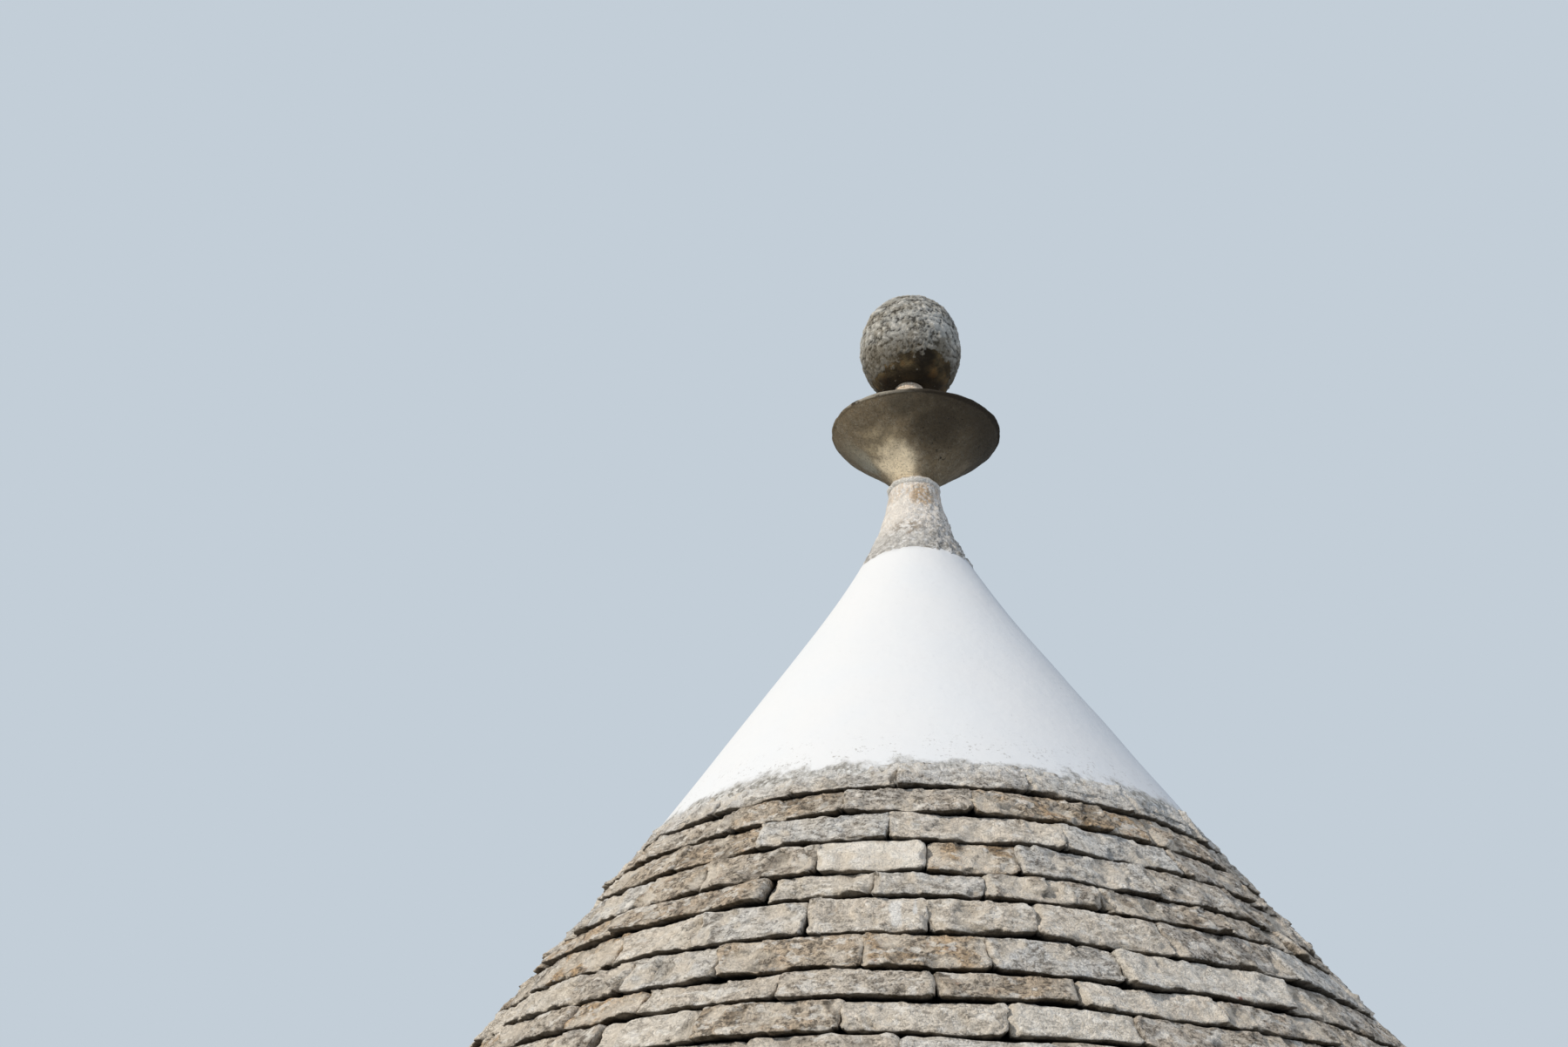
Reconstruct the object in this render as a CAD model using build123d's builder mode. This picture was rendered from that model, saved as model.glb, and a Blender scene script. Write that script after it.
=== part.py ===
from build123d import *
import math
import os

# Conical dry-stone roof of a trullo, from its springing to the tip of its pinnacle.
#
# Two skins of limestone stand on one ring of springing blocks. The outer skin is thin
# slabs in level courses, each course overhanging the one below by a small drip. The
# inner skin is a corbelled vault, open below and shut by one closing slab. Packing
# stones fill the space between the skins. A lime plaster cap over a core of bedded
# rubble stands on the top course and carries the pinnacle: neck, dish, collar and ball.
#
# Millimetres, +Z up, origin at the centre of the springing ring's underside.

# Outer outline of the slabs: a straight slope with a slight outward bow
base_radius = 1630
cap_foot_radius = 620
slope_bow = 20

# Springing ring and the courses of slabs on it, from the lowest up
springing_height = 152
springing_block_length = 240
lower_course_count = 12
lower_course_height = 65
course_13_height = 61
course_14_height = 53
course_15_height = 73
course_16_height = 75
course_17_height = 55
course_18_height = 75
course_19_height = 71
course_20_height = 66
course_21_height = 68
slab_length = 240
slab_depth = 190
drip = 4
arris = 6
open_joint = 4

# Corbelled vault inside
skin_thickness = 537
corbel_ring_height = 153
corbel_ring_count = 8
corbel_length = 260
corbel_depth = 220
corbel_lip = 12
closing_slab_thickness = 60
closing_slab_lap = 90
packing_gap = 2

# Plaster cap over its core
cap_rake_height = 511
cap_shoulder_radius = 287
cap_curve_height = 250
cap_top_radius = 140
plaster_cover = 36
bedding_gap = 0.3

# Pinnacle, from the neck up
neck_height = 238
neck_top_radius = 64
bed_height = 20
bed_radius = 66
bed_edge_bevel = 7
dish_foot_radius = 60
dish_rim_radius = 222
dish_depth = 159
dish_middle_radius = 126
dish_middle_height = 71
dish_rim_thickness = 10
dish_crown_rise = 28
dish_crown_radius = 76
dish_offset = 9
collar_height = 114
collar_foot_radius = 62
ball_seat_radius = 38
ball_radius = 135
ball_seat_to_middle = 136
ball_middle_to_top = 159
ball_side_bow = 1.38
ball_haunch_out = 0.67
ball_haunch_down = 0.745

# Heights of the courses and of the seats, worked out from the sizes above
course_heights = [lower_course_height] * lower_course_count + [
    course_13_height,
    course_14_height,
    course_15_height,
    course_16_height,
    course_17_height,
    course_18_height,
    course_19_height,
    course_20_height,
    course_21_height,
]
cap_foot_height = springing_height + sum(course_heights)
vault_crown_height = springing_height + corbel_ring_count * corbel_ring_height
closing_slab_top = vault_crown_height + closing_slab_thickness
cap_shoulder_height = cap_foot_height + cap_rake_height
neck_foot = cap_shoulder_height + cap_curve_height
bed_foot = neck_foot + neck_height
dish_foot = bed_foot + bed_height
rim_foot = dish_foot + dish_depth
dish_crown = rim_foot + dish_rim_thickness + dish_crown_rise
ball_seat = dish_crown + collar_height
ball_middle = ball_seat + ball_seat_to_middle
ball_top = ball_middle + ball_middle_to_top


def face_radius(z):
    """Radius of the slab faces at height z."""
    share = z / cap_foot_height
    straight = base_radius + (cap_foot_radius - base_radius) * share
    return straight + 4 * slope_bow * share * (1 - share)


def vault_radius(z):
    """Radius of the vault's inner face at height z."""
    return face_radius(z) - skin_thickness


def stones_round(radius, length):
    """How many stones of about that length go round a ring."""
    return round(2 * math.pi * radius / length)


def half_bond(index, count):
    """Start angle that breaks the joints of every other ring."""
    return 180 / count if index % 2 else 0


def ring_of_stones(section, count, start_angle=0.0):
    """Like stones round the axis with open joints, from the corners of one cross section."""
    half_angle = math.pi / count
    wedge_tip = open_joint / 2 / math.sin(half_angle)
    reach = 2 * max(radius for radius, height in section)
    half_width = (reach - wedge_tip) * math.tan(half_angle)
    low = min(height for radius, height in section)
    high = max(height for radius, height in section)
    with BuildPart() as stone:
        with BuildSketch(Plane.XZ):
            with BuildLine():
                Polyline(*section, close=True)
            make_face()
        extrude(amount=half_width, both=True)
        with BuildSketch(Plane.XY.offset(low)):
            with BuildLine():
                Polyline((wedge_tip, 0), (reach, half_width), (reach, -half_width), close=True)
            make_face()
        extrude(amount=high - low, mode=Mode.INTERSECT)
    with BuildPart() as ring:
        with PolarLocations(0, count, start_angle=start_angle):
            add(stone.part)
    return ring


def make_springing():
    """Blocks that reach through the whole thickness, alike on all four sides."""
    top = springing_height
    quarter_count = stones_round(base_radius / 4, springing_block_length)
    section = [
        (vault_radius(0), 0),
        (base_radius, 0),
        (face_radius(top), top),
        (vault_radius(top) + corbel_lip, top),
    ]
    return ring_of_stones(section, 4 * quarter_count)


def make_slab_course(index):
    """One course of slabs with a raked face and a worn lower arris."""
    low = springing_height + sum(course_heights[:index])
    top = low + course_heights[index]
    nose = face_radius(low) + drip
    tail = face_radius(top) - slab_depth
    section = [
        (tail, low),
        (nose - arris, low),
        (nose, low + arris),
        (face_radius(top), top),
        (tail, top),
    ]
    count = stones_round(face_radius(low), slab_length)
    return ring_of_stones(section, count, half_bond(index, count))


def make_corbel_ring(index):
    """One ring of vault blocks, which oversails the ring below by a small lip."""
    low = springing_height + index * corbel_ring_height
    top = low + corbel_ring_height
    count = stones_round(vault_radius(low), corbel_length)
    flat_back = math.cos(math.pi / count)
    section = [
        (vault_radius(low), low),
        ((vault_radius(low) + corbel_depth) * flat_back, low),
        ((vault_radius(top) + corbel_depth) * flat_back, top),
        (vault_radius(top) + corbel_lip, top),
    ]
    return ring_of_stones(section, count, half_bond(index, count))


def save(piece, name):
    """Name the finished piece and write it to its own file."""
    piece.part.label = name
    export_step(piece.part, f"parts/{name}.step")


os.makedirs("parts", exist_ok=True)

# Springing ring and the two skins
save(make_springing(), "springing_ring")
for index in range(len(course_heights)):
    save(make_slab_course(index), f"slab_course_{index + 1:02d}")
for index in range(corbel_ring_count):
    save(make_corbel_ring(index), f"corbel_ring_{index + 1:02d}")

# Closing slab over the eye of the vault
closing_slab_radius = vault_radius(vault_crown_height) + closing_slab_lap
with BuildPart() as closing_slab:
    with BuildSketch(Plane.XY.offset(vault_crown_height)):
        Circle(closing_slab_radius)
    extrude(amount=closing_slab_thickness)
save(closing_slab, "closing_slab")

# Packing stones between the skins, clear of the tails of the slabs
course_tops = [springing_height + sum(course_heights[: i + 1]) for i in range(len(course_heights))]
course_steps = [face_radius(z - h) - face_radius(z) for z, h in zip(course_tops, course_heights)]
packing_middle = (springing_height + vault_crown_height) / 2
packing_levels = [springing_height, packing_middle, vault_crown_height]
packing_inset = corbel_depth + slope_bow / 4 + packing_gap
slab_room = slab_depth + max(course_steps) + packing_gap
with BuildPart() as packing_stones:
    with BuildSketch(Plane.XZ):
        with BuildLine():
            Polyline(
                *[(vault_radius(z) + packing_inset, z) for z in packing_levels],
                (closing_slab_radius + packing_gap, vault_crown_height),
                (closing_slab_radius + packing_gap, closing_slab_top),
                (face_radius(closing_slab_top) - slab_room, closing_slab_top),
                *[(face_radius(z) - slab_room, z) for z in reversed(packing_levels)],
                close=True,
            )
        make_face()
    revolve(axis=Axis.Z)
save(packing_stones, "packing_stones")


def cap_side():
    """Draw the outer side of the cap from its foot to the neck."""
    rake = Line((cap_foot_radius, cap_foot_height), (cap_shoulder_radius, cap_shoulder_height))
    return TangentArc(rake @ 1, (cap_top_radius, neck_foot), tangent=rake % 1)


def core_side(inset):
    """Corners of the cap's side moved inwards by inset, from the foot up."""
    return [
        (cap_foot_radius - inset, cap_foot_height),
        (cap_shoulder_radius - inset, cap_shoulder_height),
        (cap_top_radius - inset, neck_foot),
    ]


# Plaster cap, flush with the faces of the slabs that it stands on
shell_inset = plaster_cover - bedding_gap
with BuildPart() as plaster_cap:
    with BuildSketch(Plane.XZ):
        with BuildLine():
            cap_side()
            Polyline(
                (cap_foot_radius, cap_foot_height),
                *core_side(shell_inset),
                (cap_top_radius, neck_foot),
            )
        make_face()
    revolve(axis=Axis.Z)
save(plaster_cap, "plaster_cap")

# Core of bedded rubble, which stands on the closing slab and on the top course
core_foot_radius = cap_foot_radius - slab_depth - packing_gap
with BuildPart() as summit_core:
    with BuildSketch(Plane.XZ):
        with BuildLine():
            Polyline(
                (0, neck_foot),
                (0, closing_slab_top),
                (core_foot_radius, closing_slab_top),
                (core_foot_radius, cap_foot_height),
                *core_side(plaster_cover),
                close=True,
            )
        make_face()
    revolve(axis=Axis.Z)
save(summit_core, "summit_core")

# Neck, which goes on upwards in the curve of the cap
with BuildPart() as pinnacle_neck:
    with BuildSketch(Plane.XZ):
        with BuildLine():
            cap_curve = cap_side()
        with BuildLine() as neck_outline:
            side = TangentArc(cap_curve @ 1, (neck_top_radius, bed_foot), tangent=cap_curve % 1)
            Polyline(side @ 1, (0, bed_foot), (0, neck_foot), side @ 0)
        make_face(neck_outline.edges())
    revolve(axis=Axis.Z)
save(pinnacle_neck, "pinnacle_neck")

# Lime bed under the dish
with BuildPart() as dish_bed:
    with BuildSketch(Plane.XY.offset(bed_foot)):
        Circle(bed_radius)
    extrude(amount=bed_height)
    chamfer(dish_bed.faces().sort_by(Axis.Z)[-1].edges(), length=bed_edge_bevel)
save(dish_bed, "dish_bed")

# Dish cut from one stone, set a little off the axis
rim_bevel = dish_rim_thickness / 2
with BuildPart() as dish_blank:
    with BuildSketch(Plane.XZ):
        with BuildLine():
            under = ThreePointArc(
                (dish_foot_radius, dish_foot),
                (dish_middle_radius, dish_foot + dish_middle_height),
                (dish_rim_radius - rim_bevel, rim_foot),
            )
            Polyline(
                under @ 1,
                (dish_rim_radius, rim_foot + rim_bevel),
                (dish_rim_radius - rim_bevel, rim_foot + dish_rim_thickness),
                (dish_crown_radius, dish_crown),
                (0, dish_crown),
                (0, dish_foot),
                under @ 0,
            )
        make_face()
    revolve(axis=Axis.Z)
with BuildPart() as pinnacle_dish:
    with Locations((dish_offset, 0, 0)):
        add(dish_blank.part)
save(pinnacle_dish, "pinnacle_dish")

# Collar between the dish and the ball
with BuildPart() as ball_collar:
    with BuildSketch(Plane.XZ):
        with BuildLine():
            Polyline(
                (0, dish_crown),
                (collar_foot_radius, dish_crown),
                (ball_seat_radius, ball_seat),
                (0, ball_seat),
                close=True,
            )
        make_face()
    revolve(axis=Axis.Z)
save(ball_collar, "ball_collar")

# Ball, flattened where it sits on the collar and drawn up a little towards the top. Above
# its middle a side arc runs into a round crown, whose centre lies on the axis.
side_radius = ball_side_bow * ball_middle_to_top
side_centre = ball_radius - side_radius
crown_radius = ball_radius**2 + ball_middle_to_top**2 - 2 * ball_radius * side_radius
crown_radius /= 2 * (ball_middle_to_top - side_radius)
crown_centre = ball_top - crown_radius
crown_turn = math.degrees(math.atan2(crown_centre - ball_middle, -side_centre))
with BuildPart() as pinnacle_ball:
    with BuildSketch(Plane.XZ):
        with BuildLine():
            lower_side = TangentArc(
                (ball_radius, ball_middle),
                (
                    ball_seat_radius + ball_haunch_out * (ball_radius - ball_seat_radius),
                    ball_middle - ball_haunch_down * ball_seat_to_middle,
                ),
                tangent=(0, -1),
            )
            under = TangentArc(lower_side @ 1, (ball_seat_radius, ball_seat), tangent=lower_side % 1)
            CenterArc((side_centre, ball_middle), side_radius, 0, crown_turn)
            crown = CenterArc((0, crown_centre), crown_radius, crown_turn, 90 - crown_turn)
            Polyline(crown @ 1, (0, ball_seat), under @ 1)
        make_face()
    revolve(axis=Axis.Z)
save(pinnacle_ball, "pinnacle_ball")
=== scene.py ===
import bmesh
import bpy
import math
import random
from mathutils import Matrix, Vector, geometry, noise


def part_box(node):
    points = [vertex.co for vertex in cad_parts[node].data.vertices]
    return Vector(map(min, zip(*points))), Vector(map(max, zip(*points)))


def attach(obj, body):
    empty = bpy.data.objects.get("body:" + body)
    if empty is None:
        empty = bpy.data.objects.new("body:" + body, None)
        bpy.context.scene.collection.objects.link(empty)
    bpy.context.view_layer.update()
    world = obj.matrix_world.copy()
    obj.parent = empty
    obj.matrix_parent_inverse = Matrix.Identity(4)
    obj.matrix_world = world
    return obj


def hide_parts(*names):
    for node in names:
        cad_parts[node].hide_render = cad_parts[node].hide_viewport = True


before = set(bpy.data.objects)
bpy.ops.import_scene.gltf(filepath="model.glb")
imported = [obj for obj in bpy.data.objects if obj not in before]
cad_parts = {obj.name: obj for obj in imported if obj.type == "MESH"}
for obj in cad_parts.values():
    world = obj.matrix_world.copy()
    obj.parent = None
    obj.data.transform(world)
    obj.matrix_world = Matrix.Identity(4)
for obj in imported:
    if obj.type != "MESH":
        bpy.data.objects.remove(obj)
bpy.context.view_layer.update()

# Outline of the roof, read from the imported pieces. Lengths are metres throughout.
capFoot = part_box("plaster_cap")[0].z
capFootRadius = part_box("plaster_cap")[1].x
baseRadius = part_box("springing_ring")[1].x
slopeBow = 0.020         # how far the middle of the slope stands out of a straight line
skin = 0.537             # from the slab faces to the faces of the vault

random.seed(7)
noise.seed_set(7)        # or noise_vector takes its offsets from the clock


def clamp(value, low, high):
    return max(low, min(high, value))


def smooth(value, low, high):
    t = clamp((value - low) / (high - low), 0.0, 1.0)
    return t * t * (3 - 2 * t)


def mixed(a, b, share):
    return a + (b - a) * share


def faceRadius(z):
    share = z / capFoot
    return mixed(baseRadius, capFootRadius, share) + 4 * slopeBow * share * (1 - share)


# Camera at the photograph's viewing angle
view = {
    "lens": 35.0,
    "sensor": 36.0,
    "distance": 3.33,    # from the roof's axis
    "eyeHeight": 0.40,   # above the springing
    "pitch": 31.53,    # degrees up
    "turn": -5.754,    # degrees, to the left of the axis
    "roll": 1.5,
}


def makeCamera():
    pitch, turn, roll = (math.radians(view[k]) for k in ("pitch", "turn", "roll"))
    ahead = Vector((math.sin(turn) * math.cos(pitch), math.cos(turn) * math.cos(pitch), math.sin(pitch)))
    right = Vector((math.cos(turn), -math.sin(turn), 0))
    up = right.cross(ahead)
    sideways = math.cos(roll) * right + math.sin(roll) * up
    upwards = math.cos(roll) * up - math.sin(roll) * right
    data = bpy.data.cameras.new("camera")
    data.lens = view["lens"]
    data.sensor_width = view["sensor"]
    camera = bpy.data.objects.new("camera", data)
    camera.matrix_world = Matrix((sideways, upwards, -ahead)).transposed().to_4x4()
    camera.location = (0, -view["distance"], view["eyeHeight"])
    bpy.context.scene.collection.objects.link(camera)
    bpy.context.scene.camera = camera


def hexColour(text):
    parts = [int(text[i:i + 2], 16) / 255 for i in (0, 2, 4)]
    return tuple(c / 12.92 if c <= 0.04045 else ((c + 0.055) / 1.055) ** 2.4 for c in parts) + (1.0,)


# Adds one node. A value that is another node's output is linked, any other is set.
def addNode(tree, kind, settings, output=0):
    node = tree.nodes.new("ShaderNode" + kind)
    for key, value in settings.items():
        if isinstance(key, str) and hasattr(node, key):
            setattr(node, key, value)
        elif isinstance(value, bpy.types.NodeSocket):
            tree.links.new(value, node.inputs[key])
        else:
            node.inputs[key].default_value = value
    return node.outputs[output] if node.outputs else node


# A material, its tree and the place in the object's own frame that its patterns start from
def newMaterial(name):
    material = bpy.data.materials.new(name)
    material.use_nodes = True
    tree = material.node_tree
    tree.nodes.clear()
    return material, tree, addNode(tree, "TexCoord", {}, "Object")


# Soft-edged patches of about the given size in mm, where the noise rises from low to high
def patches(tree, where, size, low, high, detail=6.0):
    cloud = addNode(tree, "TexNoise", {
        "Vector": where, "Scale": 1000 / size, "Detail": detail, "Roughness": 0.6})
    return addNode(tree, "MapRange", {
        "interpolation_type": "SMOOTHSTEP", "Value": cloud, "From Min": low, "From Max": high})


# Wandering cracks about the given distance in mm apart: 1 in the crack and 0 beside it
def cracks(tree, where, apart, width):
    cloud = addNode(tree, "TexNoise", {
        "Vector": where, "Scale": 1000 / apart, "Detail": 6.0, "Roughness": 0.55})
    away = addNode(tree, "Math", {0: cloud, 1: -0.5})
    away = addNode(tree, "Math", {"operation": "ABSOLUTE", 0: away})
    return addNode(tree, "MapRange", {"Value": away, "From Min": width, "From Max": 0.0})


# How far a vector has come along one of its axes, from the least at low to 1 at high
def along(tree, vector, axis, low, high, least=0.0, kind="SMOOTHSTEP"):
    value = addNode(tree, "SeparateXYZ", {0: vector}, axis)
    return addNode(tree, "MapRange", {
        "interpolation_type": kind, "Value": value, "From Min": low, "From Max": high, "To Min": least})


# One stain with a ragged edge about a point of the object
def stain(tree, where, centre, radius, ragged=0.8, soft=0.7):
    away = addNode(tree, "VectorMath", {"operation": "DISTANCE", 0: where, 1: centre}, "Value")
    cloud = addNode(tree, "TexNoise", {
        "Vector": where, "Scale": 0.9 / radius, "Detail": 6.0, "Roughness": 0.6})
    away = addNode(tree, "Math", {"operation": "MULTIPLY_ADD", 0: cloud, 1: ragged * radius * 2, 2: away})
    return addNode(tree, "MapRange", {"interpolation_type": "SMOOTHSTEP", "Value": away,
                                      "From Min": radius * (1 + ragged),
                                      "From Max": radius * (1 - soft + ragged)})


def product(tree, total, *masks):
    for mask in masks:
        total = addNode(tree, "Math", {"operation": "MULTIPLY", 0: total, 1: mask})
    return total


# A coat of colour over what is beneath, as strong as the product of its masks
def coat(tree, under, over, strength, *masks):
    share = product(tree, strength, *masks)
    return addNode(tree, "Mix", {"data_type": "RGBA", 0: share, 6: under, 7: over}, 2)


# Coats on a first colour, in order: the name or hex of a colour, its strength, its masks
def coats(tree, look, first, *layers):
    colour = hexColour(look[first])
    for name, strength, *masks in layers:
        colour = coat(tree, colour, hexColour(look.get(name, name)), strength, *masks)
    return colour


# Stains as coats, from the middle, radius, colour and strength of each
def stainsOf(tree, where, stains):
    return [(over, strength, stain(tree, where, centre, radius))
            for centre, radius, over, strength in stains]


# Patterns of a piece, each of patches: size in mm, where the noise begins and ends, detail
def patternsOf(tree, where, patterns):
    return [patches(tree, where, *pattern) for pattern in patterns.values()]


# Closes a material. Its sheen is roughness and gloss, and its relief is pairs of a height
# from 0 to 1 and what that stands proud in mm.
def finished(material, colour, sheen, *relief):
    tree, total = material.node_tree, 0.0
    for height, proud in relief:
        total = addNode(tree, "Math", {"operation": "MULTIPLY_ADD", 0: height, 1: proud, 2: total})
    surface = {"Base Color": colour, "Roughness": sheen[0], "Specular IOR Level": sheen[1]}
    if relief:
        surface["Normal"] = addNode(tree, "Bump", {"Strength": 1.0, "Distance": 0.001, "Height": total})
    addNode(tree, "OutputMaterial", {"Surface": addNode(tree, "BsdfPrincipled", surface)})
    return material


studio = {
    "backdrop": "C3CED8",
    "floor": "D4D5D3",
    "floorSize": 30, "floorSheen": (0.9, 0.1),
    "sky": "DDE9F9",
    "skyStrength": 0.47,
    "key": {"place": (-7.6, -7.1, 8.3), "size": 1.1, "power": 1130.0, "colour": "FFF7EC"},
    "fill": {"place": (5.0, -4.5, 2.5), "size": 3.5, "power": 60.0, "colour": "DCE8FF"},
    "aim": (0, 0, 1.8),
}


# Painted studio floor: matt, even and pale
def studioFloor():
    return finished(newMaterial("paintedStudioFloor")[0], hexColour(studio["floor"]), studio["floorSheen"])


def makeStudio():
    world = bpy.data.worlds.new("studio")
    bpy.context.scene.world = world
    world.use_nodes = True
    tree = world.node_tree
    tree.nodes.clear()
    rays = addNode(tree, "LightPath", {}).node.outputs
    seen = rays["Is Camera Ray"]
    for ray in ("Is Glossy Ray", "Is Transmission Ray"):
        seen = addNode(tree, "Math", {"operation": "MAXIMUM", 0: seen, 1: rays[ray]})
    light = addNode(tree, "Background", {
        "Color": hexColour(studio["sky"]), "Strength": studio["skyStrength"]})
    shown = addNode(tree, "Background", {"Color": hexColour(studio["backdrop"]), "Strength": 1.0})
    addNode(tree, "OutputWorld", {"Surface": addNode(tree, "MixShader", {0: seen, 1: light, 2: shown})})
    for name in ("key", "fill"):
        lamp = studio[name]
        data = bpy.data.lights.new(name, "AREA")
        data.size = lamp["size"]
        data.energy = lamp["power"]
        data.color = hexColour(lamp["colour"])[:3]
        light = bpy.data.objects.new(name, data)
        light.location = lamp["place"]
        aim = Vector(studio["aim"]) - Vector(lamp["place"])
        light.rotation_euler = aim.to_track_quat("-Z", "Y").to_euler()
        bpy.context.scene.collection.objects.link(light)
    bm = bmesh.new()
    bmesh.ops.create_grid(bm, x_segments=1, y_segments=1, size=studio["floorSize"])
    makeObject(bm, "floor", studioFloor())


def makeObject(bm, name, material):
    mesh = bpy.data.meshes.new(name)
    bm.to_mesh(mesh)
    bm.free()
    mesh.materials.append(material)
    mesh.shade_smooth()
    piece = bpy.data.objects.new(name, mesh)
    bpy.context.scene.collection.objects.link(piece)
    return piece


# Keeps four numbers for each vertex, which the material reads by name
def paint(piece, name, numbers):
    piece.data.attributes.new(name, "FLOAT_COLOR", "POINT").data.foreach_set("color", numbers)


def place(piece, slotName, *nodes):
    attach(piece, "root")
    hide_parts(*nodes)


# Weathered split limestone: matt and gritty, cream to grey, mottled with dark lichen. It is
# pale where flakes have come off, dark in cracks and hollows and ochre on old beds. Painted
# shade darkens it: earthy brown on faces that look down and at the foot of each stone (there
# partly a real stain), near black deep in the joints.
weathered = {
    "coolGrey": "C5C7C8", "warmGrey": "D0C1AC", "cream": "F8F1E4",
    "flake": "FAF5EB", "fresh": "E4D9C8",
    "ochre": "CBA87C", "rust": "B06D3E",
    "lichen": "786E61", "spot": "2D2821",
    # deep is painted shade inside the joints, near black
    "lime": "F2F1ED", "earthAndShade": "3A2F1E", "deep": "0C0A07",
    "patterns": {
        "patch": (60, 0.38, 0.62), "fine": (2.6, 0.35, 0.65, 2.0), "rusty": (22, 0.60, 0.70, 4.0),
        "splashed": (14, 0.36, 0.56),
    },
    "beddedPatterns": {"mottle": (14.4, 0.46, 0.59, 9.0), "flake": (28, 0.52, 0.62, 3.0)},
    "otherPatterns": {
        "otherPatch": (60, 0.40, 0.58), "coarse": (36, 0.35, 0.60, 3.0),
        "grain": (4.5, 0.42, 0.60, 3.0), "cracked": (90, 0.50, 0.60, 2.0),
    },
    "crackApart": 45, "crackWidth": 0.008,
    "bedding": 1.7,    # how flat the bedded patterns lie
    "sheen": (0.92, 0.25),
    "dullest": 0.15, "hollow": (0.48, 0.10),    # of the lightness, and of the crests
    # faces that look down take painted shade, earthy brown
    "below": (-0.30, -0.80),    # how far a face looks down
    "stains": (
        ((0.497, -0.821, 1.041), 0.009, "8E4A33", 0.8),    # a fragment of red earth
    ),
    # lime run down one slab: middle and half width of each streak, how long drawn, and how
    # far up and down it reaches
    "streaks": (((-0.048, -0.880, 1.160), 0.0150), ((-0.016, -0.880, 1.175), 0.0065)),
    "drawnOut": (1, 0.3, 0.14), "streakReach": 0.031, "streakEnd": 0.008,
}


def weatheredLimestone(name, look):
    material, tree, where = newMaterial(name)
    bedded = addNode(tree, "VectorMath", {"operation": "MULTIPLY", 0: where, 1: (1, 1, look["bedding"])})
    elsewhere = addNode(tree, "VectorMath", {"operation": "ADD", 0: where, 1: (7, 3, 5)})
    tone = addNode(tree, "Attribute", {"attribute_name": "stoneTone"}).node.outputs
    wear = addNode(tree, "Attribute", {"attribute_name": "stoneWear"}).node.outputs
    light, warm, limed = addNode(tree, "SeparateColor", {0: tone["Color"]}).node.outputs
    crest, cool, footStainAndShade = addNode(tree, "SeparateColor", {0: wear["Color"]}).node.outputs
    patch, fine, rusty, splashed = patternsOf(tree, where, look["patterns"])
    mottle, flake = patternsOf(tree, bedded, look["beddedPatterns"])
    otherPatch, coarse, grain, cracked = patternsOf(tree, elsewhere, look["otherPatterns"])
    crack = product(tree, cracks(tree, bedded, look["crackApart"], look["crackWidth"]), cracked)
    dull = addNode(tree, "MapRange", {"Value": light, "To Min": 1.0, "To Max": look["dullest"]})
    start, end = look["hollow"]
    hollow = addNode(tree, "MapRange", {"Value": crest, "From Min": start, "From Max": end})
    below = along(tree, addNode(tree, "NewGeometry", {}, "Normal"), 2, *look["below"])
    drawnOut = Vector(look["drawnOut"])
    upright = addNode(tree, "VectorMath", {"operation": "MULTIPLY", 0: where, 1: drawnOut})
    height = addNode(tree, "SeparateXYZ", {0: where}, 2)
    streaks = []
    for centre, radius in look["streaks"]:
        streak = stain(tree, upright, drawnOut * Vector(centre), radius, 0.9, 0.5)
        away = addNode(tree, "Math", {0: height, 1: -centre[2]})
        away = addNode(tree, "Math", {"operation": "ABSOLUTE", 0: away})
        onSlab = addNode(tree, "MapRange", {"Value": away, "From Min": look["streakReach"],
                                            "From Max": look["streakReach"] - look["streakEnd"]})
        streaks.append(("lime", 0.80, streak, onSlab))
    colour = coats(
        tree, look, "warmGrey", ("coolGrey", 1.0, cool), ("warmGrey", 0.6, patch), ("cream", 1.0, light),
        ("ochre", 0.85, warm, otherPatch), ("rust", 0.75, warm, rusty),
        ("lichen", 0.85, dull, mottle, coarse), ("spot", 0.68, dull, mottle, grain),
        ("lichen", 0.35, dull, grain), ("flake", 0.60, flake), ("fresh", 0.75, tone["Alpha"]),
        ("spot", 0.50, hollow, dull), ("spot", 0.55, crack, coarse), ("lime", 0.9, limed, splashed),
        # the last three coats are painted shade: at the foot of each stone (partly a real stain), on faces
        # that look down, and deep in the joints
        ("earthAndShade", 0.35, footStainAndShade, mottle), ("earthAndShade", 0.85, below), ("deep", 0.95, wear["Alpha"]),
        *stainsOf(tree, where, look["stains"]), *streaks)
    return finished(material, colour, look["sheen"],
                    (mottle, 1.1), (grain, 1.2), (fine, 0.5), (flake, -1.2), (crack, -1.0))


# Kinds of stone in the outer skin: lightness, ochre, lime, coolness
tones = {
    "grey": (0.16, 0.20, 0.0, 0.35),
    "cool": (0.40, 0.00, 0.0, 0.95),
    "pale": (1.00, 0.04, 0.0, 0.30),
    "cream": (0.70, 0.12, 0.0, 0.15),
    "ochre": (0.10, 0.80, 0.0, 0.10),
    "brown": (0.00, 0.28, 0.0, 0.15),
    "dark": (0.00, 0.10, 0.0, 0.50),
    "limed": (0.35, 0.05, 0.7, 0.80),
}

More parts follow.
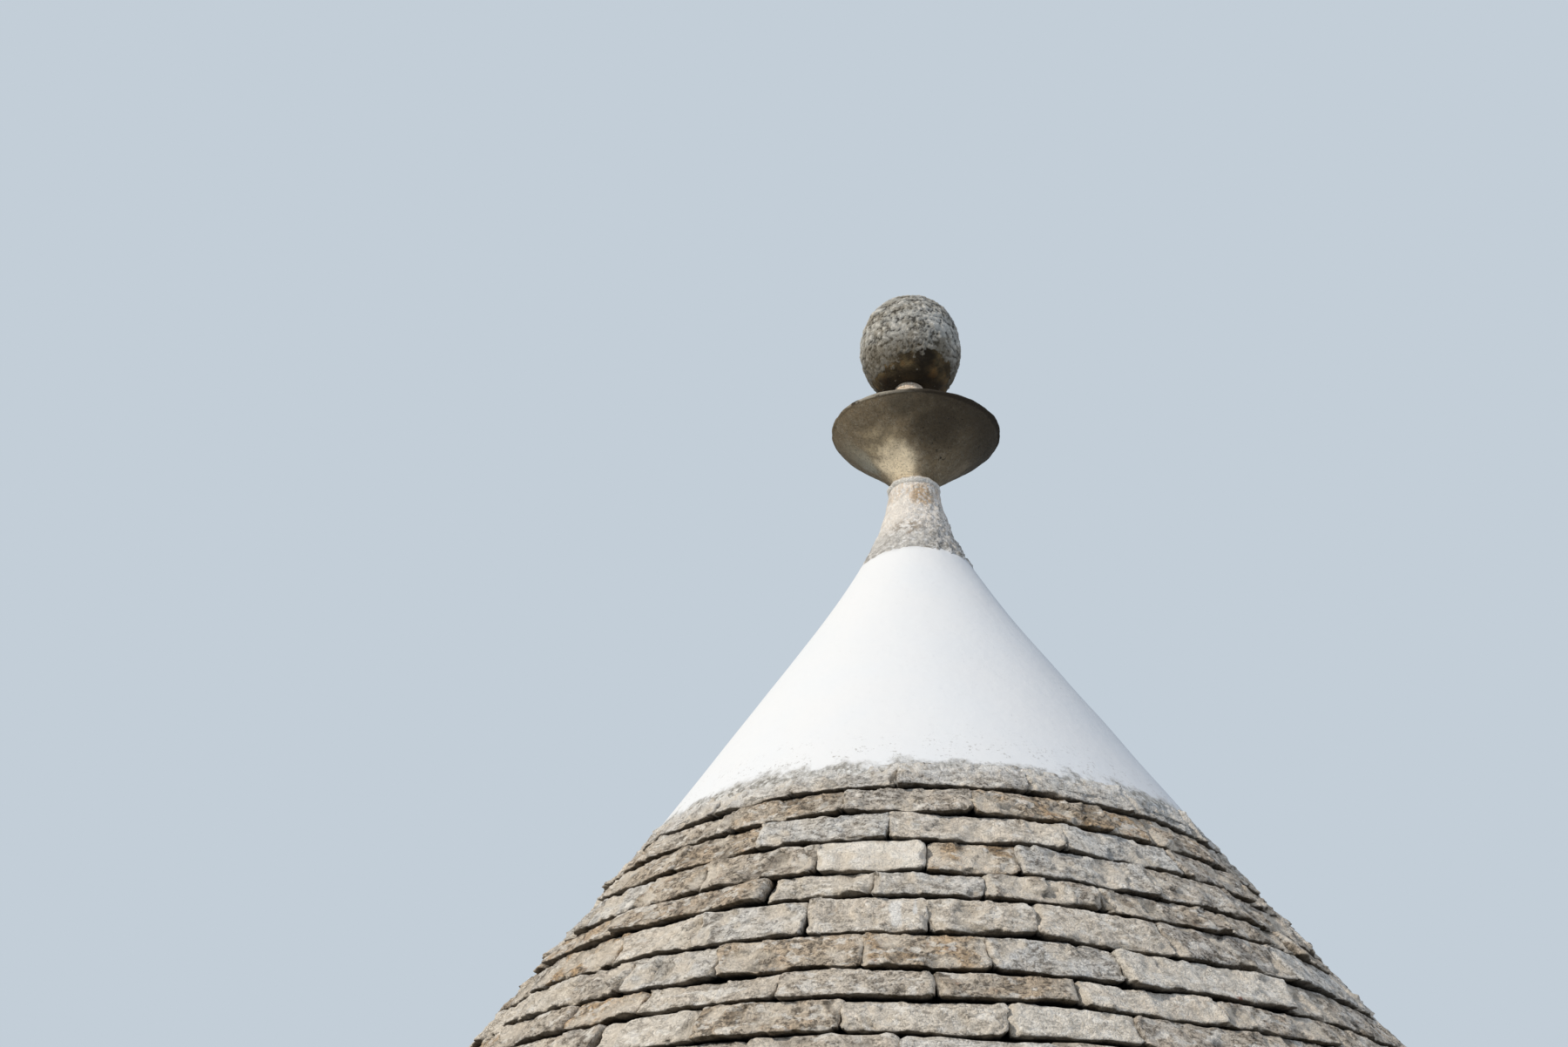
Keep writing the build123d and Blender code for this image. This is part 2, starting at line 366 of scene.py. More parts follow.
# How a rough stone departs from a plain block, in metres
splitStone = {
    "faceCuts": (0.010, 0.032),    # depths behind the face where extra edges run
    "faceBand": (-0.040, -0.008),    # where the relief of the face sets in
    "arris": 0.0046, "arrisWave": (0.6, 0.05), "corner": (0.003, 0.017),
    "sag": 0.006, "lean": 0.009, "setOut": 0.005, "twist": 1.8,
    "slot": 0.0060, "slotWave": 0.075,    # how far its underside stands off the bed
    "dark": (0.008, 0.030),    # how deep in the joint the light is lost
    "litFoot": 0.03,    # how far up a through-block its underside stays lit
    "edge": 0.0022, "edgeWave": 0.060,    # how far its top and ends wander
    "chipWarp": 0.008, "chipWarpSize": 0.020,
    "swellSize": 0.075, "swell": 0.0055,
    "knapSize": 0.042, "knap": 0.0055, "facet": 0.0125,
    "gritSize": 0.010, "grit": 0.0024,
    "strata": 0.0026, "strataHeight": 0.010,
    "bedWave": 0.0040, "bedWaveLength": 0.22,
    # rise of the beds in front, by azimuth, and the levels between which it comes and goes
    "bedRise": ((-95, 0.0), (-42, 0.0), (-12, 0.007), (8, 0.0), (27, -0.012), (55, -0.014), (110, 0.0)),
    "riseComes": (0.2, 0.9), "riseGoes": 0.14, "bedStill": 0.1,
    # flakes knocked off: fewest and most, size of the hollow, depth, slant
    "lowerChips": (1, 4, 0.030, 0.085, 0.003, 0.011, 0.5, 1.2),
    "upperChips": (1, 3, 0.020, 0.060, 0.002, 0.006, 0.8, 1.6),
    "endChips": (2, 5, 0.028, 0.085, 0.005, 0.017, 0.8, 1.6),
    "faceChips": (1, 4, 0.040, 0.120, 0.003, 0.008),
    "chipPush": (0.5, 0.4), "reliefPush": (0.4, 0.3),    # how much of each goes sideways and up
    "freshDepth": 0.004, "crestHeight": 0.010,    # relief that shows as fresh and as crest
}


def plainBlock(block, look):
    length, height, depth = block["length"], block["height"], block["depth"]
    near, far = look["faceCuts"]
    bm = bmesh.new()
    bmesh.ops.create_cube(bm, size=1.0)
    bmesh.ops.scale(bm, vec=(depth, length, height), verts=bm.verts)
    bmesh.ops.translate(bm, vec=(-depth / 2, 0, height / 2), verts=bm.verts)    # its face is at x = 0
    for x in [-near, -far] + ([far - depth, near - depth] if block["bothFaces"] else []):
        bmesh.ops.bisect_plane(bm, geom=bm.verts[:] + bm.edges[:] + bm.faces[:],
                               plane_co=(x, 0, 0), plane_no=(1, 0, 0))
    front, back = -far - 0.001, far + 0.001 - depth
    for axis, size in ((1, length), (2, height)):
        across = [e for e in bm.edges
                  if abs(e.verts[0].co[axis] - e.verts[1].co[axis]) > size * 0.9
                  and (e.verts[0].co.x > front or block["bothFaces"] and e.verts[0].co.x < back)]
        cuts = max(2, round(size / block["grid"])) - 1
        bmesh.ops.subdivide_edges(bm, edges=across, cuts=cuts, use_grid_fill=True)
    return bm


# Hollows left by flakes, as balls that press into the stone from outside
def chipsOf(block, look):
    chips = []
    half, height = block["length"] / 2, block["height"]
    for kind in ("lowerChips", "upperChips", "endChips", "faceChips"):
        fewest, most, small, large, shallow, deep, *slant = look[kind]
        for _ in range(random.randint(fewest, most)):
            radius = random.uniform(small, large)
            bite = random.uniform(shallow, deep) * block["wear"]
            y, z = random.uniform(-half, half), random.uniform(0, height)
            outward = Vector((1, 0, 0))
            if kind == "lowerChips":
                z, outward = 0, Vector((random.uniform(*slant), 0, -1))
            elif kind == "upperChips":
                z, outward = height, Vector((random.uniform(*slant), 0, 1))
            elif kind == "endChips":
                side = random.choice((-1, 1))
                y, outward = side * half, Vector((random.uniform(*slant), side, 0))
            chips.append((Vector((0, y, z)) + outward.normalized() * (radius - bite), radius))
    return chips


# Where a point of the plain block lies once arrises and corners are worn round
def wornPoint(point, block, look):
    half, height = block["length"] / 2, block["height"]
    share, size = look["arrisWave"]
    arris = look["arris"] * (1 + share * noise.noise(block["seed"] + point / size))
    core = Vector((min(point.x, -arris), clamp(point.y, arris - half, half - arris),
                   clamp(point.z, arris, height - arris)))
    away = (point - core).normalized()
    x, y, z = core + away * arris
    corner = block["corners"][(y > 0) * 2 + (z > height / 2)]
    nearY, nearZ = clamp(y, corner - half, half - corner), clamp(z, corner, height - corner)
    far = math.hypot(y - nearY, z - nearZ)
    if far > 0:
        pull = max(abs(y - nearY), abs(z - nearZ)) / far
        y, z = mixed(nearY, y, pull), mixed(nearZ, z, pull)
    return Vector((x, y, z)), away


# How far the split face stands out or in at a point, from flake scars, grit and bedding
def splitRelief(at, block, look):
    spans, centres = noise.voronoi(at / look["knapSize"])
    tilt = noise.noise_vector(centres[0] * 2.7)
    facet = tilt.dot(at / look["knapSize"] - centres[0]) + 0.25 * tilt.x
    layer = Vector((at.x * 4, at.y * 8, at.z / look["strataHeight"]))
    relief = look["knap"] * (min(spans[0], 1.0) - 0.45) + look["facet"] * facet
    relief += look["grit"] * noise.fractal(at / look["gritSize"], 0.6, 2.1, 3)
    return relief * block["roughness"] + look["strata"] * block["layered"] * noise.noise(layer)


def roughBlock(block, look):
    length, height, depth = block["length"], block["height"], block["depth"]
    bm = plainBlock(block, look)
    chips = chipsOf(block, look)
    wear = []
    for vert in bm.verts:
        start = vert.co.copy()
        point, away = wornPoint(start, block, look)
        front = smooth(start.x, *look["faceBand"])
        # painted shade: how far behind the face a point lies in the joint's darkness
        deep = smooth(-start.x, *look["dark"])
        if block["bothFaces"]:
            front = max(front, smooth(-depth - start.x, *look["faceBand"]))
            deep = min(deep, smooth(depth + start.x, *look["dark"])) * smooth(start.z, 0.0, look["litFoot"])
        at = block["seed"] + start
        point.x += front * look["swell"] * noise.fractal(at / look["swellSize"], 1.0, 2.0, 2)
        fresh = relief = 0.0
        if front > 0:
            warp = look["chipWarp"] * noise.noise_vector(at / look["chipWarpSize"])
            sideways, upwards = look["chipPush"]
            for centre, radius in chips:
                reach = point + warp - centre
                if reach.length < radius:
                    fresh += radius - reach.length
                    push = reach.normalized() * (radius - reach.length)
                    point += Vector((push.x, push.y * sideways, push.z * upwards))
            relief = splitRelief(at, block, look)
            sideways, upwards = look["reliefPush"]
            point += Vector((away.x, away.y * sideways, away.z * upwards)) * relief * front
            wander = look["edge"] * noise.noise_vector(at / look["edgeWave"])
            point += Vector((0, wander.y * abs(away.y), (wander.z - 0.5 * look["edge"]) * max(0, away.z)))
        share = clamp(start.y / length + 0.5, 0, 1)
        level = start.z / height
        wave = noise.fractal(block["seed"] + Vector((start.y, 0, 0)) / look["slotWave"], 1.0, 2.2, 2)
        point.z += look["slot"] * clamp(block["slot"] + wave, 0.05, 1.1) * (1 - level)
        point.z *= 1 - look["sag"] * mixed(block["sagLeft"], block["sagRight"], share) / height
        point.y += mixed(block["leanLeft"], block["leanRight"], share) * (point.z / height - 0.5)
        point.y *= (block["radius"] + block["side"] * point.x) / block["radius"]
        point.x -= block["rake"] * point.z / height
        vert.co = point
        crest = clamp(0.5 + relief / look["crestHeight"], 0, 1)
        wear.append((clamp(fresh / look["freshDepth"], 0, 1), crest, level, deep))
    bmesh.ops.translate(bm, vec=(block["setOut"], 0, 0), verts=bm.verts)
    bmesh.ops.rotate(bm, cent=(0, 0, 0), matrix=Matrix.Rotation(block["twist"], 3, "Z"), verts=bm.verts)
    return bm, wear


# How far a bed lies above its true level: slow waves, and the rise and fall seen in front
def bedWave(point, level, look):
    around = Vector((point.x, point.y, 0)).normalized() * faceRadius(level)
    around.z = level * 3
    wave = look["bedWave"] * noise.noise(around / look["bedWaveLength"]) * smooth(level, 0, look["bedStill"])
    azimuth = math.degrees(math.atan2(point.x, -point.y))
    for (left, leftRise), (right, rightRise) in zip(look["bedRise"], look["bedRise"][1:]):
        if left < azimuth <= right:
            rise = mixed(leftRise, rightRise, smooth(azimuth, left, right))
            wave += rise * smooth(level, *look["riseComes"]) * smooth(capFoot - level, 0.0, look["riseGoes"])
    return wave


def placeBlock(bm, block, look):
    facing = block["azimuth"] - math.pi / 2 + (0 if block["side"] > 0 else math.pi)
    turn = Matrix.Rotation(facing, 3, "Z")
    low, high = block["low"], block["low"] + block["height"]
    for vert in bm.verts:
        point = turn @ Vector((block["side"] * block["radius"] + vert.co.x, vert.co.y, 0))
        waves = bedWave(point, low, look), bedWave(point, high, look)
        vert.co = Vector((point.x, point.y, low + vert.co.z + mixed(*waves, vert.co.z / block["height"])))


def ringOfBlocks(name, blocks, look, material):
    whole = bmesh.new()
    toneColours, wearColours = [], []
    for block in blocks:
        bm, wear = roughBlock(block, look)
        light, warm, limed, cool = block["tone"]
        for fresh, crest, level, deep in wear:
            toneColours += light, warm, limed * smooth(level, 0.1, 0.9), fresh
            # third: darker at the foot of each stone, partly a real stain and partly painted shade; fourth:
            # painted shade deep in the joints
            wearColours += crest, cool, 1 - smooth(level, 0.02, 0.15), deep
        placeBlock(bm, block, look)
        mesh = bpy.data.meshes.new("block")
        bm.to_mesh(mesh)
        bm.free()
        whole.from_mesh(mesh)
        bpy.data.meshes.remove(mesh)
    bmesh.ops.recalc_face_normals(whole, faces=whole.faces)
    ring = makeObject(whole, name, material)
    paint(ring, "stoneTone", toneColours)
    paint(ring, "stoneWear", wearColours)
    return ring


# What no two stones have alike
def strayed(look):
    return {
        "wear": random.uniform(0.6, 1.3), "roughness": random.uniform(0.7, 1.3),
        "layered": random.uniform(0, 1) ** 2, "slot": random.uniform(0.15, 0.75),
        "corners": [random.uniform(*look["corner"]) for _ in range(4)],
        "sagLeft": max(0, random.uniform(-0.6, 1)), "sagRight": max(0, random.uniform(-0.6, 1)),
        "leanLeft": random.uniform(-1, 1) * look["lean"], "leanRight": random.uniform(-1, 1) * look["lean"],
        "setOut": random.uniform(-1.2, 0.6) * look["setOut"],
        "twist": math.radians(random.uniform(-1, 1) * look["twist"]),
        "seed": Vector([random.uniform(0, 90) for _ in range(3)]),
        "bothFaces": False,
    }


def varied(kind):
    return [clamp(c + random.uniform(-0.12, 0.12), 0.0, 1.0) if c > 0 else 0.0 for c in tones[kind]]


# Courses of slabs. Where the photograph shows a joint, its azimuth is given in degrees to
# the right of the camera's side, with the kind of stone that follows it.
slabCourses = {
    "length": (0.16, 0.29),
    "joint": (0.002, 0.007),
    "depth": 0.185,
    "drip": 0.003, "setBack": 0.004,
    "fineGrid": 0.0043, "backGrid": 0.0078, "coarseGrid": 0.0118,
    "fineFrom": 13, "frontFrom": 0.1,    # lowest fine course, and the cosine that counts as in front
    "usual": ("grey",) * 3 + ("cool",) * 2 + ("cream",) * 3 + ("ochre", "brown", "dark"),
    "pale": {"roughness": 0.40, "layered": 0, "corners": [0.018] * 4},    # one stone worn smooth
    "firstJoint": 12,    # where nothing shows, the first joint lies within this
    "front": {
        21: {-38.0: "limed", -22.1: "limed", -4.0: "limed", 17.5: "limed", 37.0: "limed", 54: "limed"},
        20: {-30.9: "brown", -12.0: "grey", 7.3: "ochre", 29.2: "ochre", 37.9: "brown", 52: "grey"},
        19: {-37.6: "brown", -23.2: "cool", -4.7: "cream", 19.5: "cool", 38.9: "dark", 55: "grey"},
        18: {-30.0: "grey", -13.7: "pale", 0.2: "ochre", 12.0: "cool", 29.9: "grey", 43.7: "dark"},
        17: {-41.3: "brown", -18.9: "cream", -6.0: "cool", 6.9: "grey", 20.5: "grey", 38.4: "dark"},
        16: {-26.2: "cool", -12.8: "cream", 0.2: "cream", 11.7: "cream", 26.6: "dark", 43.8: "cool"},
        15: {-32.9: "cool", -21.3: "brown", -6.2: "ochre", 6.2: "cool", 19.3: "cream", 39.5: "grey"},
        14: {-28.3: "cream", -13.7: "grey", 0.7: "brown", 13.6: "cream", 28.0: "grey", 42: "grey"},
        13: {-20.4: "brown", -7.4: "cream", 6.7: "cream", 18.2: "grey", 31: "grey"},
        12: {-15.0: "grey", -2.2: "cool", 10: "grey"},
    },
}


# Joints all round a course: those seen, then others at odd lengths until it closes
def jointsOfCourse(course, radius, look):
    seen = look["front"].get(course, {random.uniform(0, look["firstJoint"]): "grey"})
    joints = [(math.radians(azimuth), kind) for azimuth, kind in seen.items()]
    end = joints[0][0] + 2 * math.pi
    shortest, longest = (length / radius for length in look["length"])
    while end - joints[-1][0] > longest:
        left = end - joints[-1][0]
        step = random.uniform(shortest, longest)
        joint = joints[-1][0] + (step if left - step > shortest else left / 2)
        joints.append((joint, random.choice(look["usual"])))
    return joints + [(end, "")]


def makeSlabCourse(course, material):
    look = slabCourses
    node = f"slab_course_{course:02d}"
    low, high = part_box(node)[0].z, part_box(node)[1].z
    radius = faceRadius(low) + look["drip"]
    joints = jointsOfCourse(course, radius, look)
    isTop = course == max(look["front"])
    blocks = []
    for (start, kind), (end, _) in zip(joints, joints[1:]):
        inFront = math.cos((start + end) / 2) > look["frontFrom"]
        fine = course >= look["fineFrom"]
        grid = look[("fineGrid" if inFront else "backGrid") if fine else "coarseGrid"]
        block = strayed(splitStone)
        block |= {
            "length": (end - start) * radius - random.uniform(*look["joint"]),
            "height": high - low, "depth": look["depth"], "low": low, "grid": grid,
            "radius": radius, "side": 1, "azimuth": (start + end) / 2,
            "rake": radius - faceRadius(high) + (0 if isTop else look["setBack"]),
            "tone": varied("limed" if isTop else kind),
        }
        if kind == "pale":
            block |= look["pale"]
        if isTop:
            block |= {"setOut": block["setOut"] / 3, "sagLeft": 0, "sagRight": 0}
        blocks.append(block)
    ring = ringOfBlocks(f"slabCourse{course:02d}", blocks, splitStone, material)
    place(ring, "slabs", node)


def makeSlabCourses(material):
    courses = sorted(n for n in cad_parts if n.startswith("slab_course_"))
    for course in range(1, len(courses) + 1):
        makeSlabCourse(course, material)
    print("slab courses laid:", len(courses))


# Vault of corbelled blocks, hammered to a face and never rained on: paler and less rough
vault = {
    "lip": 0.012, "joint": 0.005, "blockLength": 0.26, "blockDepth": 0.215, "grid": 0.020,
    "stone": splitStone | {
        "setOut": 0.003, "twist": 1.0, "bedWave": 0.002, "sag": 0.003,
        "knap": 0.004, "facet": 0.006, "grit": 0.0012, "swell": 0.003, "slot": 0.003, "bedRise": (),
    },
    "finish": weathered | {
        "coolGrey": "CCC7BC", "warmGrey": "C8BAA4", "lichen": "978B77",
        # in the vault too, earthAndShade and deep are painted shade
        "spot": "6B604F", "earthAndShade": "A3927A", "deep": "2A241C", "stains": (), "streaks": (),
    },
}


def makeVault(material):
    rings = sorted(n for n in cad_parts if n.startswith("corbel_ring_"))
    for index, node in enumerate(rings):
        low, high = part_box(node)[0].z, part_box(node)[1].z
        radius, top = faceRadius(low) - skin, faceRadius(high) - skin + vault["lip"]
        count = round(2 * math.pi * radius / vault["blockLength"])
        blocks = []
        for number in range(count):
            block = strayed(vault["stone"])
            block |= {
                "length": 2 * math.pi * radius / count - vault["joint"],
                "height": high - low, "depth": vault["blockDepth"], "low": low, "grid": vault["grid"],
                "radius": radius, "side": -1, "azimuth": 2 * math.pi * (number + 0.5 * (index % 2)) / count,
                "rake": top - radius,
                "tone": varied(random.choice(("cool", "pale", "grey"))),
            }
            blocks.append(block)
        ring = ringOfBlocks(f"corbelRing{index + 1:02d}", blocks, vault["stone"], material)
        place(ring, "vault_stone", node)
    print("vault rings laid:", len(rings))


springing = {"joint": 0.006, "grid": 0.019, "count": 44}


def makeSpringing(material):
    low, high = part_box("springing_ring")[0].z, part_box("springing_ring")[1].z
    blocks = []
    for number in range(springing["count"]):
        block = strayed(splitStone)
        block |= {
            "length": 2 * math.pi * baseRadius / springing["count"] - springing["joint"],
            "height": high - low, "depth": skin, "low": low, "grid": springing["grid"], "bothFaces": True,
            "radius": baseRadius, "side": 1, "azimuth": 2 * math.pi * number / springing["count"],
            "rake": baseRadius - faceRadius(high), "sagLeft": 0, "sagRight": 0,
            "tone": varied(random.choice(slabCourses["usual"])),
        }
        blocks.append(block)
    place(ringOfBlocks("springingRing", blocks, splitStone, material), "springing_stone", "springing_ring")
    print("springing laid")


# Points after start along arcs that run into each other, the first leaving along tangent
def arcPoints(start, tangent, ends, count):
    points = []
    for end in ends:
        chord = end - start
        turn = tangent.angle_signed(chord)
        for step in range(1, count + 1):
            part = turn * step / count
            ray = Matrix.Rotation(-part, 2) @ tangent
            points.append(start + ray * chord.length * math.sin(part) / math.sin(turn))
        tangent = Matrix.Rotation(-2 * turn, 2) @ tangent
        start = end
    return points


# Turns an outline of (radius, height) points round the axis into a closed solid
def turned(points, longest, segments, closed=False):
    bm = bmesh.new()
    verts = [bm.verts.new((x, 0, z)) for x, z in points]
    edges = [bm.edges.new(pair) for pair in zip(verts, verts[1:] + verts[:1] if closed else verts[1:])]
    for edge in edges:
        cuts = math.ceil(edge.calc_length() / longest) - 1
        if cuts > 0:
            bmesh.ops.subdivide_edges(bm, edges=[edge], cuts=cuts)
    bmesh.ops.spin(bm, geom=bm.verts[:] + bm.edges[:], cent=(0, 0, 0), axis=(0, 0, 1),
                   angle=2 * math.pi, steps=segments, use_merge=True)
    bmesh.ops.remove_doubles(bm, verts=bm.verts, dist=0.00001)
    bmesh.ops.recalc_face_normals(bm, faces=bm.faces)
    bm.normal_update()
    return bm


def waves(point, size, height):
    return height * noise.noise(point / size)


# Waves with finer ones on them: how fast these fade, and how many sizes there are
def ruffles(point, size, height, fade, sizes):
    return height * noise.fractal(point / size, fade, 2.0, sizes)


def knobs(point, size, height):
    return height * (0.5 - min(noise.voronoi(point / size)[0][0], 1.0))


def raiseRelief(bm, relief):
    normals = [vert.normal.copy() for vert in bm.verts]
    for vert, normal in zip(bm.verts, normals):
        vert.co += normal * relief(vert.co, normal)


# Limewashed plaster over the summit, thin and wavy where it runs out on the top course
cap = {
    "shoulder": (0.287, 0.511),    # radius, height above the foot
    "topRadius": 0.140,
    "proud": 0.0020, "runOut": 0.034, "undercut": 0.022, "skirt": 0.048, "thickness": 0.034,
    "lap": 0.03, "fineRise": 0.05, "fineDepth": 0.02,    # of its foot under the skirt, of the fine grid
    "segments": 340, "row": 0.022, "skirtCuts": 3,
    # waves and ruffles: size, height, fading, sizes
    "wave": (0.16, 0.0020), "grit": (0.02, 0.0018, 0.8, 3), "edge": (0.07, 0.010, 0.8, 3),
    "crumble": (0.03, 0.005, 0.8, 2), "gritRise": 0.03, "crumbleDepth": 0.004,
    "limewash": "E9EAEA", "shade": "E6E9EB", "mortar": "BDBAB3", "fleck": "ECEBE7", "speck": "7B766C",
    "grime": "8F8A80", "sheen": (0.85, 0.3),
    "cloudSize": 70,    # mm
    "bareEdge": (-0.052, -0.084), "smearEdge": (0.05, -0.07),    # from the foot, before the waves
    "patterns": {
        "soft": (170, 0.35, 0.70), "trowel": (45, 0.30, 0.70, 2.0), "rare": (60, 0.60, 0.70),
        "clumps": (35, 0.46, 0.58), "mottle": (13, 0.44, 0.60, 9.0), "grit": (7, 0.42, 0.60),
        "smear": (7, 0.56, 0.64), "dots": (7, 0.66, 0.70, 3.0),
    },
}


def capSide(offset):
    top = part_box("plaster_cap")[1].z
    radius, height = cap["shoulder"]
    foot, shoulder = Vector((capFootRadius, capFoot)), Vector((radius, capFoot + height))
    rake = (shoulder - foot).normalized()
    curve = arcPoints(shoulder, rake, [Vector((cap["topRadius"], top))], 16)
    return [p + Vector((offset, 0)) for p in [foot, shoulder] + curve]


def plasterEdge(point):
    return capFoot - cap["edge"][1] + ruffles(Vector((point.x, point.y, 0)), *cap["edge"])


# Lime plaster, trowelled and limewashed many times: white, matt and almost smooth, with
# fine pits. Its foot is bare lime mortar, grey and gritty.
def limewashedPlaster():
    material, tree, where = newMaterial("limewashedPlaster")
    height = addNode(tree, "SeparateXYZ", {0: where}, 2)
    cloud = addNode(tree, "TexNoise", {
        "Vector": where, "Scale": 1000 / cap["cloudSize"], "Detail": 9.0, "Roughness": 0.68})
    rising = addNode(tree, "Math", {"operation": "MULTIPLY_ADD", 0: cloud, 1: -0.15, 2: height})
    bare, nearFoot = (
        addNode(tree, "MapRange", {"interpolation_type": "SMOOTHSTEP", "Value": rising,
                                   "From Min": capFoot + start, "From Max": capFoot + end})
        for start, end in (cap["bareEdge"], cap["smearEdge"]))
    soft, trowel, rare, clumps, mottle, grit, smear, dots = patternsOf(tree, where, cap["patterns"])
    colour = coats(tree, cap, "limewash", ("shade", 0.6, soft), ("grime", 0.5, dots, rare),
                   ("grime", 0.55, nearFoot, smear, clumps))
    rough = coats(tree, cap, "mortar", ("fleck", 0.85, grit), ("speck", 0.75, mottle))
    return finished(material, coat(tree, colour, rough, 1.0, bare), cap["sheen"],
                    (trowel, 0.5), (grit, 0.06), (product(tree, bare, grit), 1.4), (dots, -0.3))


def makeCap():
    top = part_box("plaster_cap")[1].z
    side = capSide(cap["proud"])
    low = capFoot - cap["skirt"]
    skirt = [Vector((faceRadius(z) + cap["proud"], z)) for z in (low, mixed(low, capFoot, 0.5))]
    inner = [p - Vector((cap["thickness"], 0)) for p in reversed(side)]
    outline = [Vector((capFootRadius - cap["lap"], low))] + skirt + side + inner[:1] + inner[-2:]
    bm = turned(outline, cap["row"], cap["segments"], closed=True)
    fine = [e for e in bm.edges if all(low - 0.001 < v.co.z < capFoot + cap["fineRise"] for v in e.verts)
            and all(v.co.xy.length > faceRadius(v.co.z) - cap["fineDepth"] for v in e.verts)
            and abs(e.verts[0].co.z - e.verts[1].co.z) > 0.004]
    bmesh.ops.subdivide_edges(bm, edges=fine, cuts=cap["skirtCuts"], use_grid_fill=True)
    bm.normal_update()

    def relief(point, normal):
        if normal.z < -0.2 or normal.dot(Vector((point.x, point.y, 0))) < 0:
            return 0
        edge = plasterEdge(point)
        under = smooth(edge - point.z, 0.0, cap["runOut"])
        rough = smooth(edge + cap["gritRise"] - point.z, 0.0, cap["gritRise"])
        ripple = waves(point, *cap["wave"]) + ruffles(point, *cap["grit"]) * rough
        return ripple - cap["undercut"] * under
    raiseRelief(bm, relief)
    for vert in bm.verts:
        if vert.co.z > top - cap["crumbleDepth"]:
            vert.co.z += ruffles(vert.co, *cap["crumble"])
    place(makeObject(bm, "plasterCap", limewashedPlaster()), "lime_plaster", "plaster_cap")
    print("summit plastered")


# Neck carved from one block: smooth on the side that the rain washes, knobbly on the other,
# with the mason's upright combing under the bed
neck = {
    "topRadius": 0.064, "segments": 210, "row": 0.0040, "thicker": 0.0015, "sunk": 0.03,
    "knobs": (0.017, 0.0075), "grit": (0.007, 0.0022, 0.7, 3), "swell": (0.05, 0.003),
    "washed": (-0.03, 0.05),    # from washed to knobbly, along x
    "thickFoot": (0.12, 0.08), "roughFoot": (0.09, 0.06),    # height above its foot, soft part
    "pale": "F7EFE4", "grey": "CFCCC6", "ochre": "DDBE98", "dark": "6A6256", "white": "FBF9F5",
    "brown": "9C8871", "sheen": (0.92, 0.25),
    # middle and radius of the washed, the ochre and the brown patch
    "patches": (((-0.035, -0.075, 2.440), 0.045), ((0.022, -0.064, 2.484), 0.042),
                ((-0.014, -0.095, 2.372), 0.052)),
    "patterns": {
        "blotch": (13, 0.42, 0.60, 8.0), "grain": (5, 0.44, 0.58), "patch": (40, 0.40, 0.58),
        "fine": (3, 0.35, 0.65, 2.0), "flecks": (10, 0.50, 0.60),
    },
    "combSize": 7, "combLength": 0.12,    # mm, and how far it is drawn upright
    "shadedSide": (-0.02, 0.06),    # along x
    "combedTop": (-0.062, -0.035), "calmTop": (-0.065, -0.045), "greyFoot": (0.12, 0.05),
}


# Carved limestone that has lost its face: cream and grey, knobbly, with blotchy painted shade on one side
def carvedLimestone():
    material, tree, where = newMaterial("carvedLimestone")
    low, top = (corner.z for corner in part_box("pinnacle_neck"))
    blotch, grain, patch, fine, flecks = patternsOf(tree, where, neck["patterns"])
    # painted shade on the right side, broken up by blotches and grain
    right = along(tree, where, 0, *neck["shadedSide"], 0.15, "LINEAR")
    upper = along(tree, where, 2, *(top + z for z in neck["combedTop"]))
    foot = along(tree, where, 2, *(low + z for z in neck["greyFoot"]))
    washed, ochre, brown = (stain(tree, where, *spot) for spot in neck["patches"])
    comb = addNode(tree, "VectorMath", {"operation": "MULTIPLY", 0: where, 1: (1, 1, neck["combLength"])})
    comb = addNode(tree, "TexNoise", {"Vector": comb, "Scale": 1000 / neck["combSize"], "Detail": 2.0})
    comb = addNode(tree, "MapRange", {"Value": comb, "From Min": 0.42, "From Max": 0.60})
    colour = coats(
        tree, neck, "pale", ("grey", 0.9, foot), ("grey", 0.5, patch, blotch), ("ochre", 0.45, upper, comb),
        ("ochre", 0.85, ochre), ("brown", 0.35, ochre, comb), ("brown", 0.75, brown, blotch),
        ("white", 0.7, flecks), ("dark", 0.75, right, blotch, grain), ("dark", 0.45, foot, blotch, patch),
        ("pale", 0.7, washed))
    return finished(material, colour, neck["sheen"],
                    (blotch, 1.6), (grain, 1.0), (fine, 0.5), (product(tree, comb, upper), 1.5))


def makeNeck():
    low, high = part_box("pinnacle_neck")
    side = capSide(0)
    tangent = (side[-1] - side[-2]).normalized()
    curve = arcPoints(side[-1], tangent, [Vector((neck["topRadius"], high.z))], 16)
    foot = low.z - neck["sunk"]
    outline = [Vector((0, foot)), Vector((cap["topRadius"] - 0.002, foot)), side[-1]]
    bm = turned(outline + curve + [Vector((0, high.z))], neck["row"], neck["segments"])

    def nearFoot(point, height, soft):
        return smooth(low.z + height - point.z, 0, soft)

    def relief(point, normal):
        rough = 0.35 + 0.65 * smooth(point.x, *neck["washed"]) + 0.35 * nearFoot(point, *neck["roughFoot"])
        rough *= 1 - 0.5 * smooth(point.z, *(high.z + z for z in neck["calmTop"]))
        knobbly = knobs(point, *neck["knobs"]) + ruffles(point, *neck["grit"])
        swell = waves(point, *neck["swell"]) + neck["thicker"] * (1 + nearFoot(point, *neck["thickFoot"]))
        return (1 - abs(normal.z) ** 4) * (swell + rough * knobbly)
    raiseRelief(bm, relief)
    place(makeObject(bm, "pinnacleNeck", carvedLimestone()), "pinnacle_stone", "pinnacle_neck")


# Bed of lime mortar squeezed out between neck and dish
bed = {
    "segments": 150, "row": 0.0035, "round": 0.009, "swollen": 0.002,
    "squeeze": (0.03, 0.0035, 0.8, 3), "sand": (0.006, 0.0010), "stainedTop": (-0.009, -0.002),
    "lime": "ECE9E2", "grit": "C4BFB5", "stain": "B89C7C", "sheen": (0.93, 0.25),
    "patterns": {"grit": (4, 0.40, 0.62), "runs": (22, 0.42, 0.58), "lumps": (12, 0.4, 0.6)},
}


